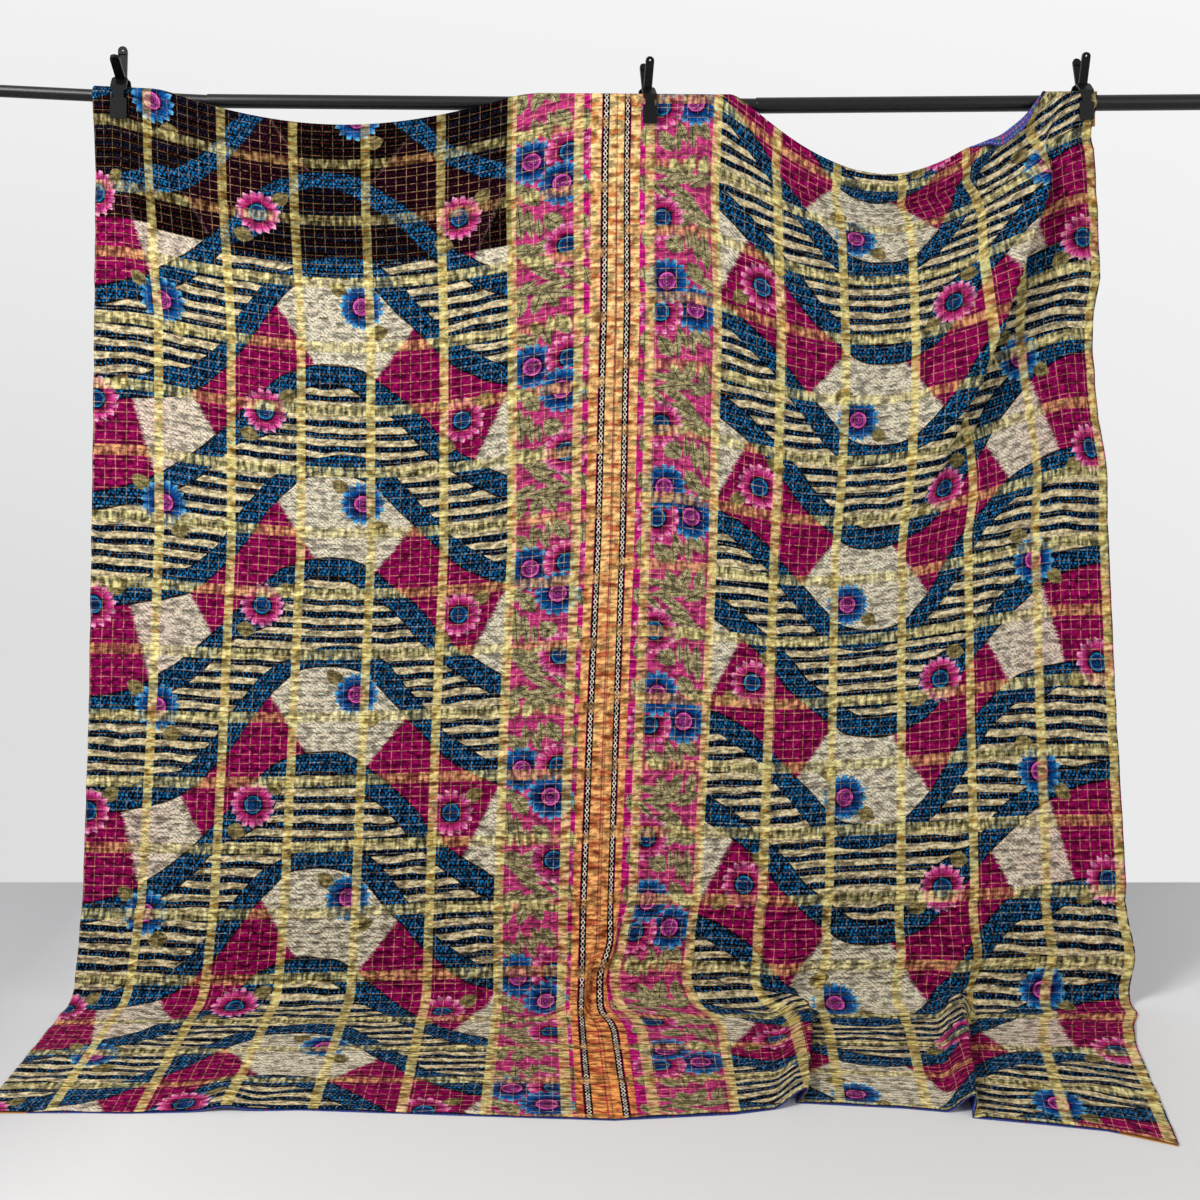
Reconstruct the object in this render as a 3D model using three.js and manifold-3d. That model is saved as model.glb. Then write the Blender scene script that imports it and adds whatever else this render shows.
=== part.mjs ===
// A kantha quilt hung in front of a telescopic rod by three spring clips, its lower end lying on the floor.
// Millimetres, +Z up. The quilt's face looks along -Y, towards a person standing in front of it.
// The origin is at floor level, under the middle of the whole thing.
import * as THREE from "three";
import Module from "manifold-3d";
import { mergeVertices } from "three/addons/utils/BufferGeometryUtils.js";

const wasm = await Module();
wasm.setup();

const { smoothstep, clamp, lerp, degToRad } = THREE.MathUtils;

// ---------------------------------------------------------------- driving dimensions

// The quilt as flat cloth: two sari widths meet at a seam. s counts across from that seam, v down from the hem.
const QUILT = { left: -1160, right: 1195, length: 2500, ply: 1.0, gap: 1.3, seamGap: 0.5 };

// The rod: where its three telescopic sections meet, their radii, and how far each slides into the next.
const ROD = {
  joints: [[-1500, 1997], [-862, 1966], [343, 1956], [1500, 1965]],
  radii: [13.5, 15.5, 17.5],
  insertion: 15,
  socketDepth: 16,
  socketClearance: 0.9,
  edge: 0.8,
  sides: 32,
};
const CAP = { thickness: 5, lip: 1.5, edge: 1, seat: 0.3 };

// How the hem lies over the rod: its radius at each end of the widening before a joint, and its length of cloth.
const TURN = { radius: 18.3, step: 2, run: 95, settle: 5, overRod: 50 };

// The bays between the clips, where the cloth sags. drop is the hem's fall: the share hemShare of it dies away
// over hemFade, and the rest between the depths start and end. lip is how far the hem leans forward.
const BAYS = [
  { at: -590, reach: 530, drop: 106, slant: 0.059, hemShare: 0.4, hemFade: 181, start: 463, end: 1610, lip: 12 },
  { at: 695, reach: 490, drop: 236, slant: -0.083, hemShare: 0.51, hemFade: 200, start: 237, end: 1637, lip: 26 },
];
const BAY_POWER = { across: 1.2, down: 1.5 };
const LIP = { depth: 40, spread: 70, share: 0.8 };

// The right corner is drawn up over the rod by the right clip.
const CORNER = { from: 353, full: 1122, lift: 67, gone: 2000 };

// The hem beside the right clip is turned over towards the front: a cuff that shows the backing.
const CUFF = { from: 830, full: 950, fade: 955, gone: 1095, width: 38, radius: 12 };

// Deep folds along the line (s1, v1)-(s2, v2). Each stands up by height over the depths start-full-fade-gone,
// rises over the width rise and drops over the width fall, and takes the width hide out of the cloth's spread.
const PLEATS = [
  { s1: 1039, v1: 120, s2: 718, v2: 880, start: 140, full: 270, fade: 480, gone: 940, height: 46,
    rise: 160, fall: 95, hide: 77, hideStart: 60, hideFull: 220 },
  { s1: 430, v1: 1930, s2: 370, v2: 2500, start: 1840, full: 1990, fade: 3000, gone: 3001, height: 32,
    rise: 75, fall: 55, hide: 85, hideStart: 1900, hideFull: 2120 },
  { s1: 810, v1: 1930, s2: 777, v2: 2500, start: 1820, full: 2080, fade: 3000, gone: 3001, height: 36,
    rise: 55, fall: 55, hide: 72, hideStart: 1900, hideFull: 2200 },
  { s1: -30, v1: 1900, s2: -40, v2: 2100, start: 1870, full: 1970, fade: 2010, gone: 2150, height: 26,
    rise: 80, fall: 30, hide: 24, hideStart: 1860, hideFull: 1960 },
  { s1: 35, v1: 1800, s2: 35, v2: 2100, start: 1800, full: 1860, fade: 1960, gone: 2080, height: 9,
    rise: 34, fall: 14, hide: 25, hideStart: 1770, hideFull: 1880 },
];
const PLEAT_LAP = 60;

// Soft folds: a ridge (or, below zero, a trough) of the given height and width along (s1, v1)-(s2, v2).
const SOFT_FOLDS = [
  { s1: -1085, v1: 190, s2: -1010, v2: 460, width: 34, height: 14 },
  { s1: 1137, v1: 255, s2: 1110, v2: 1000, width: 40, height: 14 },
  { s1: 65, v1: 190, s2: 195, v2: 640, width: 60, height: 8 },
  { s1: -700, v1: 900, s2: -650, v2: 1850, width: 140, height: 7 },
  { s1: -270, v1: 700, s2: -300, v2: 1850, width: 120, height: -6 },
  { s1: 375, v1: 800, s2: 430, v2: 1900, width: 90, height: 10 },
  { s1: 665, v1: 980, s2: 810, v2: 1900, width: 90, height: 9 },
  { s1: -705, v1: 2400, s2: -700, v2: 2520, width: 36, height: 13 },
];
const FOLD_END = 70;

// Where the cloth's upright lines hang, by depth v: X of both edges, of the seam, and of three lines between.
const LINES = [
  { line: "leftEdge", s: QUILT.left },
  { line: "outer", s: -1020 },
  { line: "leftBorder", s: -218 },
  { line: "seam", s: 0 },
  { line: "rightBorder", s: 225 },
  { line: "rightEdge", s: QUILT.right },
];
const SPREAD = [
  { v: 0, leftEdge: -1111, outer: -992, leftBorder: -192, seam: 40, rightBorder: 262, rightEdge: 1092 },
  { v: 100, leftEdge: -1106, outer: -989, leftBorder: -194, seam: 39, rightBorder: 256, rightEdge: 1126 },
  { v: 150, leftEdge: -1103, outer: -988, leftBorder: -195, seam: 38, rightBorder: 254, rightEdge: 1140 },
  { v: 220, leftEdge: -1100, outer: -985, leftBorder: -196, seam: 38, rightBorder: 250, rightEdge: 1153 },
  { v: 500, leftEdge: -1102, outer: -962, leftBorder: -192, seam: 37, rightBorder: 256, rightEdge: 1166 },
  { v: 640, leftEdge: -1103, outer: -961, leftBorder: -192, seam: 34, rightBorder: 253, rightEdge: 1133 },
  { v: 800, leftEdge: -1104, outer: -960, leftBorder: -193, seam: 31, rightBorder: 250, rightEdge: 1103 },
  { v: 1000, leftEdge: -1106, outer: -958, leftBorder: -193, seam: 27, rightBorder: 246, rightEdge: 1105 },
  { v: 1400, leftEdge: -1110, outer: -973, leftBorder: -210, seam: 13, rightBorder: 229, rightEdge: 1119 },
  { v: 1800, leftEdge: -1122, outer: -995, leftBorder: -222, seam: 1, rightBorder: 208, rightEdge: 1142 },
  { v: 2050, leftEdge: -1145, outer: -1030, leftBorder: -222, seam: -2, rightBorder: 255, rightEdge: 1268 },
  { v: 2500, leftEdge: -1134, outer: -1010, leftBorder: -211, seam: 26, rightBorder: 248, rightEdge: 1172 },
];

// The hanging cloth leans forward by lean, bends at the floor, and runs along it. run is the share of its
// length that shows there, the rest being taken up by ripples.
const FLOOR = { lean: 17, leanFrom: 60, leanTo: 1900, bend: 45 };
const FLOOR_RUN = [
  { s: QUILT.left, run: 0.96 },
  { s: -560, run: 0.9 },
  { s: 0, run: 0.97 },
  { s: 225, run: 0.92 },
  { s: 410, run: 0.82 },
  { s: 640, run: 0.87 },
  { s: 800, run: 0.93 },
  { s: 975, run: 1.0 },
  { s: 1085, run: 1.05 },
  { s: QUILT.right, run: 1.16 },
];

// The faceted cloth: each zone of it is cut into this many strips.
const LEFT_COLUMNS = [
  { from: QUILT.left, to: -1110, strips: 1 },
  { from: -1110, to: -860, strips: 5 },
  { from: -860, to: -330, strips: 4 },
  { from: -330, to: -80, strips: 5 },
  { from: -80, to: 0, strips: 1 },
];
const RIGHT_COLUMNS = [
  { from: 0, to: 60, strips: 2 },
  { from: 60, to: 210, strips: 1 },
  { from: 210, to: 310, strips: 4 },
  { from: 310, to: 490, strips: 3 },
  { from: 490, to: 740, strips: 2 },
  { from: 740, to: 865, strips: 2 },
  { from: 865, to: 990, strips: 6 },
  { from: 990, to: 1125, strips: 6 },
  { from: 1125, to: QUILT.right, strips: 1 },
];
const ROWS = [
  { from: 0, to: 60, strips: 6 },
  { from: 60, to: 120, strips: 3 },
  { from: 120, to: 300, strips: 2 },
  { from: 300, to: 1820, strips: 6 },
  { from: 1820, to: 2030, strips: 4 },
  { from: 2030, to: QUILT.length, strips: 6 },
];

// The spring clips: a pair of levers on a pin, a coil spring between their ears, and a pad in each jaw.
// Heights are above the rod's axis, distances out are from it.
const CLIP = {
  pivot: 32,
  kneeOut: 10,
  kneeUp: 35,
  handle: 68,
  thickness: 4,
  elbowOut: 29,
  elbowUp: 16,
  jawTop: -7,
  jawBottom: -48,
  handleWidth: 18,
  rim: 1.8,
  rimHeight: 2.5,
  channelEnds: [9, 16],
  bodyWidth: 30,
  bodyBottom: 8,
  neckWidth: 20,
  jawWidth: 31,
  hole: 2.4,
  holeFromTip: 8,
  padWidth: 27,
  padTop: -9,
  padBottom: -45,
  padThickness: 4,
  padEdge: 1.2,
  seat: 0.3,
  clearance: 0.5,
};
const EARS = { radius: 4.6, thickness: 2, front: 8.8, back: 6.2, hole: 2.05 };
const PIN = { radius: 1.7, halfLength: 11, sides: 20 };
const SPRING = { turns: 5, radius: 4.4, bore: 2.2, width: 9, wire: 0.9, sides: 18 };
const CLIPS = [
  { name: "left", x: -1052, size: 1.12, lift: 0, yaw: -8, frontLean: 66, backLean: 7, hemBehind: false },
  { name: "middle", x: 103, size: 1, lift: 0, yaw: -10, frontLean: 24, backLean: 24, hemBehind: false },
  { name: "right", x: 1058, size: 1, lift: 5, yaw: -1, frontLean: 20, backLean: 20, hemBehind: true },
];

// ---------------------------------------------------------------- materials and helpers

const finishes = {
  printedSari: new THREE.MeshStandardMaterial({ color: 0x8a6a50, roughness: 0.75, metalness: 0 }),
  backingCloth: new THREE.MeshStandardMaterial({ color: 0x2e2b6b, roughness: 0.85, metalness: 0 }),
  paintedSteel: new THREE.MeshStandardMaterial({ color: 0x1b1b1c, roughness: 0.45, metalness: 0.3 }),
  blackPlastic: new THREE.MeshStandardMaterial({ color: 0x141416, roughness: 0.5, metalness: 0 }),
  rubber: new THREE.MeshStandardMaterial({ color: 0x1c1c1c, roughness: 0.9, metalness: 0 }),
  springSteel: new THREE.MeshStandardMaterial({ color: 0x4a4a4e, roughness: 0.35, metalness: 0.9 }),
};

const assembly = new THREE.Group();

function addMesh(parent, name, geometry, material) {
  const mesh = new THREE.Mesh(geometry, material);
  mesh.name = name;
  parent.add(mesh);
  return mesh;
}

// The edges of all the strips of a table of zones.
function stations(zones) {
  const edges = [zones[0].from];
  for (const zone of zones) {
    for (let i = 1; i <= zone.strips; i += 1) {
      edges.push(lerp(zone.from, zone.to, i / zone.strips));
    }
  }
  return edges;
}

// The value of one column of a table at the key's place, on straight lines between its rows.
function lookUp(table, key, at, column) {
  const found = table.findIndex((row) => row[key] >= at);
  const next = found < 0 ? table.length - 1 : Math.max(1, found);
  const [a, b] = [table[next - 1], table[next]];
  return lerp(a[column], b[column], clamp((at - a[key]) / (b[key] - a[key]), 0, 1));
}

// ---------------------------------------------------------------- the drape of the cloth

function rodHeight(x) {
  const section = x < ROD.joints[1][0] ? 0 : x < ROD.joints[2][0] ? 1 : 2;
  const [[x1, z1], [x2, z2]] = [ROD.joints[section], ROD.joints[section + 1]];
  return lerp(z1, z2, (x - x1) / (x2 - x1));
}

function turnRadius(x) {
  let radius = TURN.radius;
  for (const [joint] of ROD.joints.slice(1, -1)) {
    radius += TURN.step * smoothstep(x, joint - TURN.run, joint - TURN.settle);
  }
  return radius;
}

const alongLine = (line, v) => lerp(line.s1, line.s2, (v - line.v1) / (line.v2 - line.v1));

function sag(s, v) {
  let fall = 0;
  for (const bay of BAYS) {
    const across = clamp((s - bay.at - bay.slant * v) / bay.reach, -1, 1);
    const hem = bay.hemShare * Math.exp(-((v / bay.hemFade) ** BAY_POWER.down));
    const body = (1 - bay.hemShare) * (1 - smoothstep(v, bay.start, bay.end));
    fall += bay.drop * Math.max(0, Math.cos((across * Math.PI) / 2)) ** BAY_POWER.across * (hem + body);
  }
  const corner = smoothstep(s, CORNER.from, CORNER.full);
  return fall - CORNER.lift * corner * (1 - Math.min(1, v / CORNER.gone) ** 2);
}

// How far the folds stand out from the plain cloth.
function foldLift(s, v) {
  let lift = 0;
  for (const bay of BAYS) {
    const across = clamp((s - bay.at) / (bay.reach * LIP.share), -1, 1);
    lift += bay.lip * Math.cos((across * Math.PI) / 2) ** 2 * Math.exp(-(((v - LIP.depth) / LIP.spread) ** 2));
  }
  for (const pleat of PLEATS) {
    const d = s - alongLine(pleat, v);
    const profile = d < 0 ? smoothstep(d, -pleat.rise, 0) : 1 - smoothstep(d, 0, pleat.fall);
    const length = smoothstep(v, pleat.start, pleat.full) * (1 - smoothstep(v, pleat.fade, pleat.gone));
    lift += pleat.height * profile * length;
  }
  for (const fold of SOFT_FOLDS) {
    const d = (s - alongLine(fold, v)) / fold.width;
    const length = smoothstep(v, fold.v1 - FOLD_END, fold.v1 + FOLD_END)
      * (1 - smoothstep(v, fold.v2 - FOLD_END, fold.v2 + FOLD_END));
    lift += fold.height * Math.exp(-d * d) * length;
  }
  return lift;
}

// Where s lies across the rod's length at the depth v, less what the pleats hide.
function spread(s, v) {
  const found = LINES.findIndex((column) => column.s >= s);
  const next = found < 0 ? LINES.length - 1 : Math.max(1, found);
  const [a, b] = [LINES[next - 1], LINES[next]];
  const [xa, xb] = [lookUp(SPREAD, "v", v, a.line), lookUp(SPREAD, "v", v, b.line)];
  let x = lerp(xa, xb, (s - a.s) / (b.s - a.s));
  for (const pleat of PLEATS) {
    const d = s - alongLine(pleat, v);
    const hidden = pleat.hide * smoothstep(v, pleat.hideStart, pleat.hideFull);
    const open = 1 - smoothstep(v, pleat.fade, pleat.gone);
    x -= hidden * open * smoothstep(d, -PLEAT_LAP, pleat.fall + PLEAT_LAP);
  }
  return x;
}

// The cloth's path in an upright slice, q being the distance down from the rod's front: behind the rod, over it,
// down with a slight lean, round the bend at the floor, and along the floor. ny, nz is the way its face looks.
function slice(q, s, x) {
  const radius = turnRadius(x);
  const axis = rodHeight(x);
  const behind = -q - Math.PI * radius;
  if (behind > 0) {
    return { y: radius, z: axis - behind, ny: 1, nz: 0 };
  }
  if (q < 0) {
    const turn = -q / radius;
    const [ny, nz] = [-Math.cos(turn), Math.sin(turn)];
    return { y: radius * ny, z: axis + radius * nz, ny, nz };
  }
  const front = -radius - FLOOR.lean * smoothstep(q, FLOOR.leanFrom, FLOOR.leanTo);
  const beyond = q - (axis - FLOOR.bend);
  if (beyond < 0) {
    return { y: front, z: axis - q, ny: -1, nz: 0 };
  }
  const turn = Math.min(beyond / FLOOR.bend, Math.PI / 2);
  const [ny, nz] = [-Math.cos(turn), Math.sin(turn)];
  const along = (beyond - turn * FLOOR.bend) * lookUp(FLOOR_RUN, "s", s, "run");
  return { y: front - FLOOR.bend * (1 + ny) - along, z: FLOOR.bend * (1 - nz), ny, nz };
}

// A point of the cloth's back. In the cuff, the cloth above the crown curls over towards the front.
function drape(s, v) {
  const cuff = CUFF.width * smoothstep(s, CUFF.from, CUFF.full) * (1 - smoothstep(s, CUFF.fade, CUFF.gone));
  const crown = Math.max(v, cuff);
  const curl = Math.min((crown - v) / CUFF.radius, Math.PI);
  const out = CUFF.radius * (1 - Math.cos(curl)) + foldLift(s, crown);
  const up = CUFF.radius * Math.sin(curl) - (crown - v - curl * CUFF.radius);
  const x = spread(s, crown);
  const at = slice(crown - TURN.overRod + sag(s, crown), s, x);
  return new THREE.Vector3(x, at.y + at.ny * out + at.nz * up, at.z + at.nz * out - at.ny * up);
}

// ---------------------------------------------------------------- the cloth's sheets

const depths = stations(ROWS);
const leftStations = stations(LEFT_COLUMNS);
const rightStations = stations(RIGHT_COLUMNS);

// The way the cloth's face looks at each point of its grid, from the cells round that point.
function faceNormals(grid) {
  return grid.map((column, i) => column.map((point, j) => {
    const across = new THREE.Vector3();
    const down = new THREE.Vector3();
    across.subVectors(grid[Math.min(i + 1, grid.length - 1)][j], grid[Math.max(i - 1, 0)][j]);
    down.subVectors(column[Math.min(j + 1, column.length - 1)], column[Math.max(j - 1, 0)]);
    return down.cross(across).normalize();
  }));
}

// A closed sheet one ply thick. inner is its back's distance out from the cloth's back.
function sheetGeometry(grid, normals, inner) {
  const [columns, rows] = [grid.length, grid[0].length];
  const positions = [];
  for (const offset of [inner, inner + QUILT.ply]) {
    grid.forEach((column, i) => column.forEach((point, j) => {
      positions.push(...point.clone().addScaledVector(normals[i][j], offset).toArray());
    }));
  }
  const back = (i, j) => i * rows + j;
  const face = (i, j) => columns * rows + back(i, j);
  const indices = [];
  const quad = (a, b, c, d) => indices.push(a, b, c, a, c, d);
  for (let i = 0; i < columns - 1; i += 1) {
    for (let j = 0; j < rows - 1; j += 1) {
      quad(face(i, j), face(i, j + 1), face(i + 1, j + 1), face(i + 1, j));
      quad(back(i + 1, j + 1), back(i, j + 1), back(i, j), back(i + 1, j));
    }
    quad(back(i, 0), face(i, 0), face(i + 1, 0), back(i + 1, 0));
    quad(face(i, rows - 1), back(i, rows - 1), back(i + 1, rows - 1), face(i + 1, rows - 1));
  }
  for (let j = 0; j < rows - 1; j += 1) {
    quad(face(0, j), back(0, j), back(0, j + 1), face(0, j + 1));
    quad(back(columns - 1, j), face(columns - 1, j), face(columns - 1, j + 1), back(columns - 1, j + 1));
  }
  const geometry = new THREE.BufferGeometry();
  geometry.setAttribute("position", new THREE.Float32BufferAttribute(positions, 3));
  geometry.setIndex(indices);
  geometry.computeVertexNormals();
  return geometry;
}

const gridOf = (across) => across.map((s) => depths.map((v) => drape(s, v)));
const wholeGrid = gridOf([...leftStations, ...rightStations.slice(1)]);
const wholeNormals = faceNormals(wholeGrid);
const seamColumn = leftStations.length - 1;
const frontInner = QUILT.ply + QUILT.gap;
const leftGrid = gridOf([...leftStations.slice(0, -1), -QUILT.seamGap / 2]);
const rightGrid = gridOf([QUILT.seamGap / 2, ...rightStations.slice(1)]);

const cloth = new THREE.Group();
assembly.add(cloth);
addMesh(cloth, "backing", sheetGeometry(wholeGrid, wholeNormals, 0), finishes.backingCloth);
addMesh(cloth, "front_panel_left",
  sheetGeometry(leftGrid, wholeNormals.slice(0, seamColumn + 1), frontInner), finishes.printedSari);
addMesh(cloth, "front_panel_right",
  sheetGeometry(rightGrid, wholeNormals.slice(seamColumn), frontInner), finishes.printedSari);

// ---------------------------------------------------------------- the rod

// A turned piece from a closed profile of [radius, distance along], laid along the rod from one joint to the next.
function placeAlong(mesh, from, to) {
  const direction = new THREE.Vector3(to[0] - from[0], 0, to[1] - from[1]).normalize();
  mesh.quaternion.setFromUnitVectors(new THREE.Vector3(0, 1, 0), direction);
  mesh.position.set(from[0], 0, from[1]);
}

const turned = (profile) => new THREE.LatheGeometry(profile.map(([r, y]) => new THREE.Vector2(r, y)), ROD.sides);

const sectionNames = ["rod_section_left", "rod_section_middle", "rod_section_right"];
sectionNames.forEach((name, i) => {
  const [from, to] = [ROD.joints[i], ROD.joints[i + 1]];
  const radius = ROD.radii[i];
  const last = i === sectionNames.length - 1;
  const length = Math.hypot(to[0] - from[0], to[1] - from[1]) + (last ? 0 : ROD.insertion);
  const bore = i === 0 ? 0 : ROD.radii[i - 1] + ROD.socketClearance;
  const start = i === 0
    ? [[0, 0], [radius - ROD.edge, 0], [radius, ROD.edge]]
    : [[0, ROD.socketDepth], [bore, ROD.socketDepth], [bore, 0], [radius - ROD.edge / 2, 0], [radius, ROD.edge]];
  const end = [[radius, length - ROD.edge], [radius - ROD.edge, length], [0, length]];
  const section = addMesh(assembly, name, turned([...start, ...end]), finishes.paintedSteel);
  placeAlong(section, from, to);
});

const capProfile = (radius) => [
  [0, 0],
  [radius, 0],
  [radius, CAP.thickness - CAP.edge],
  [radius - CAP.edge, CAP.thickness],
  [0, CAP.thickness],
];
const rodEnds = [
  { name: "rod_cap_left", end: ROD.joints[0], inner: ROD.joints[1], radius: ROD.radii[0] },
  { name: "rod_cap_right", end: ROD.joints[3], inner: ROD.joints[2], radius: ROD.radii[2] },
];
for (const { name, end, inner, radius } of rodEnds) {
  const cap = addMesh(assembly, name, turned(capProfile(radius + CAP.lip)), finishes.blackPlastic);
  const away = new THREE.Vector2(end[0] - inner[0], end[1] - inner[1]).normalize().multiplyScalar(CAP.seat);
  const start = [end[0] + away.x, end[1] + away.y];
  placeAlong(cap, start, [start[0] + away.x, start[1] + away.y]);
}

// ---------------------------------------------------------------- the clips

function toManifold(geometry) {
  const plain = geometry.clone();
  plain.deleteAttribute("normal");
  plain.deleteAttribute("uv");
  const merged = mergeVertices(plain, 1e-4);
  const vertProperties = new Float32Array(merged.attributes.position.array);
  const triVerts = new Uint32Array(merged.index.array);
  return new wasm.Manifold(new wasm.Mesh({ numProp: 3, vertProperties, triVerts }));
}

function toGeometry(manifold) {
  const mesh = manifold.getMesh();
  const geometry = new THREE.BufferGeometry();
  geometry.setAttribute("position", new THREE.BufferAttribute(new Float32Array(mesh.vertProperties), 3));
  geometry.setIndex(new THREE.BufferAttribute(new Uint32Array(mesh.triVerts), 1));
  geometry.computeVertexNormals();
  return geometry;
}

// A flat outline pushed out to the given depth, its middle at zero.
function slab(outline, depth, hole) {
  const shape = new THREE.Shape(outline.map(([a, b]) => new THREE.Vector2(a, b)));
  if (hole) {
    shape.holes.push(new THREE.Path().absarc(hole.x, hole.y, hole.radius, 0, 2 * Math.PI, true));
  }
  const geometry = new THREE.ExtrudeGeometry(shape, { depth, bevelEnabled: false, curveSegments: 12 });
  return geometry.translate(0, 0, -depth / 2);
}

// A round bar along X, its middle at x.
function bar(radius, length, x) {
  const geometry = new THREE.CylinderGeometry(radius, radius, length, PIN.sides);
  return geometry.rotateZ(Math.PI / 2).translate(x, 0, CLIP.pivot);
}

// Both sides of a bent strip of the given thickness that runs through the points of its middle line.
function bentStrip(points, thickness) {
  const sides = [[], []];
  points.forEach((point, i) => {
    const before = points[Math.max(0, i - 1)];
    const after = points[Math.min(points.length - 1, i + 1)];
    const first = new THREE.Vector2(point[0] - before[0], point[1] - before[1]);
    const second = new THREE.Vector2(after[0] - point[0], after[1] - point[1]);
    if (first.length() === 0) {
      first.copy(second);
    }
    if (second.length() === 0) {
      second.copy(first);
    }
    const mitre = first.normalize().clone().add(second.normalize()).normalize();
    const half = thickness / 2 / mitre.dot(first);
    sides[0].push([point[0] - mitre.y * half, point[1] + mitre.x * half]);
    sides[1].unshift([point[0] + mitre.y * half, point[1] - mitre.x * half]);
  });
  return [...sides[0], ...sides[1]];
}

// A handle as moulded: a plate with a round end and a hole, and a rim round a channel on its inner face.
function handleGeometry(lean) {
  const [half, length, round] = [CLIP.handleWidth / 2, CLIP.handle, 8];
  const outline = [[half, -CLIP.thickness / 2]];
  for (let i = 0; i <= round; i += 1) {
    const angle = (i / round) * Math.PI;
    outline.push([half * Math.cos(angle), length - half + half * Math.sin(angle)]);
  }
  outline.push([-half, -CLIP.thickness / 2]);
  const depth = CLIP.thickness + CLIP.rimHeight;
  const hole = { x: 0, y: length - CLIP.holeFromTip, radius: CLIP.hole };
  const [inside, [from, to]] = [half - CLIP.rim, CLIP.channelEnds];
  const channel = slab([[inside, from], [inside, length - to], [-inside, length - to], [-inside, from]], depth);
  const plate = toManifold(slab(outline, depth, hole)).subtract(toManifold(channel.translate(0, 0, -CLIP.thickness)));
  const handle = toGeometry(plate).translate(0, 0, -CLIP.rimHeight / 2);
  return handle.rotateX(Math.PI / 2 + degToRad(lean)).translate(0, -CLIP.kneeOut, CLIP.kneeUp);
}

// One lever, looking along -Y: below the knee its side view cut by its front view, with two ears for the pin.
function leverGeometry(lean, jawOut, earAt) {
  const path = [
    [-CLIP.kneeOut, CLIP.kneeUp],
    [-Math.max(CLIP.elbowOut, jawOut), CLIP.elbowUp],
    [-jawOut, CLIP.jawTop],
    [-jawOut, CLIP.jawBottom],
  ];
  const side = slab(bentStrip(path, CLIP.thickness), CLIP.jawWidth);
  side.applyMatrix4(new THREE.Matrix4().makeBasis(
    new THREE.Vector3(0, 1, 0), new THREE.Vector3(0, 0, 1), new THREE.Vector3(1, 0, 0)));
  const [body, neck, jaw] = [CLIP.bodyWidth / 2, CLIP.neckWidth / 2, CLIP.jawWidth / 2];
  const half = [
    [jaw - 1.5, CLIP.jawBottom],
    [jaw, CLIP.jawBottom + 1.5],
    [jaw, CLIP.padTop],
    [neck, CLIP.padTop + 1.5],
    [neck, CLIP.bodyBottom - 2],
    [body, CLIP.bodyBottom + 1],
    [body, CLIP.kneeUp - 2],
    [CLIP.handleWidth / 2, CLIP.kneeUp + CLIP.thickness],
  ];
  const outline = [...half, ...half.map(([x, z]) => [-x, z]).reverse()];
  const front = slab(outline, 4 * CLIP.handle).rotateX(Math.PI / 2);
  let lever = toManifold(side).intersect(toManifold(front)).add(toManifold(handleGeometry(lean)));
  for (const x of [-earAt, earAt]) {
    const web = new THREE.BoxGeometry(EARS.thickness, CLIP.kneeOut, 2 * EARS.radius);
    web.translate(x, -CLIP.kneeOut / 2, CLIP.pivot);
    lever = lever.add(toManifold(web)).add(toManifold(bar(EARS.radius, EARS.thickness, x)));
  }
  return toGeometry(lever.subtract(toManifold(bar(EARS.hole, CLIP.jawWidth, 0))));
}

// A pad with its corners cut off, its outer face jawOut from the rod's axis.
function padGeometry(jawOut) {
  const [w, e] = [CLIP.padWidth / 2, CLIP.padEdge];
  const [top, bottom] = [CLIP.padTop, CLIP.padBottom];
  const outline = [
    [-w + e, bottom], [w - e, bottom], [w, bottom + e], [w, top - e],
    [w - e, top], [-w + e, top], [-w, top - e], [-w, bottom + e],
  ];
  return slab(outline, CLIP.padThickness).rotateX(Math.PI / 2).translate(0, -jawOut + CLIP.padThickness / 2, 0);
}

// The coil spring as a ribbed tube round the pin.
function springGeometry() {
  const pitch = SPRING.width / SPRING.turns;
  const profile = [[SPRING.bore, -SPRING.width / 2]];
  for (let i = 0; i < SPRING.turns; i += 1) {
    const middle = (i + 0.5) * pitch - SPRING.width / 2;
    profile.push([SPRING.radius - SPRING.wire, middle - pitch / 2], [SPRING.radius, middle]);
  }
  profile.push([SPRING.radius - SPRING.wire, SPRING.width / 2], [SPRING.bore, SPRING.width / 2], profile[0]);
  const geometry = new THREE.LatheGeometry(profile.map(([r, y]) => new THREE.Vector2(r, y)), SPRING.sides);
  return geometry.rotateZ(Math.PI / 2).translate(0, 0, CLIP.pivot);
}

// How far out a pad's inner face must be, for its corners to clear something at the given distance.
function clearOut(distance, yaw) {
  const turn = degToRad(Math.abs(yaw));
  return (distance + CLIP.seat + (CLIP.padWidth / 2) * Math.sin(turn)) / Math.cos(turn);
}

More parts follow.
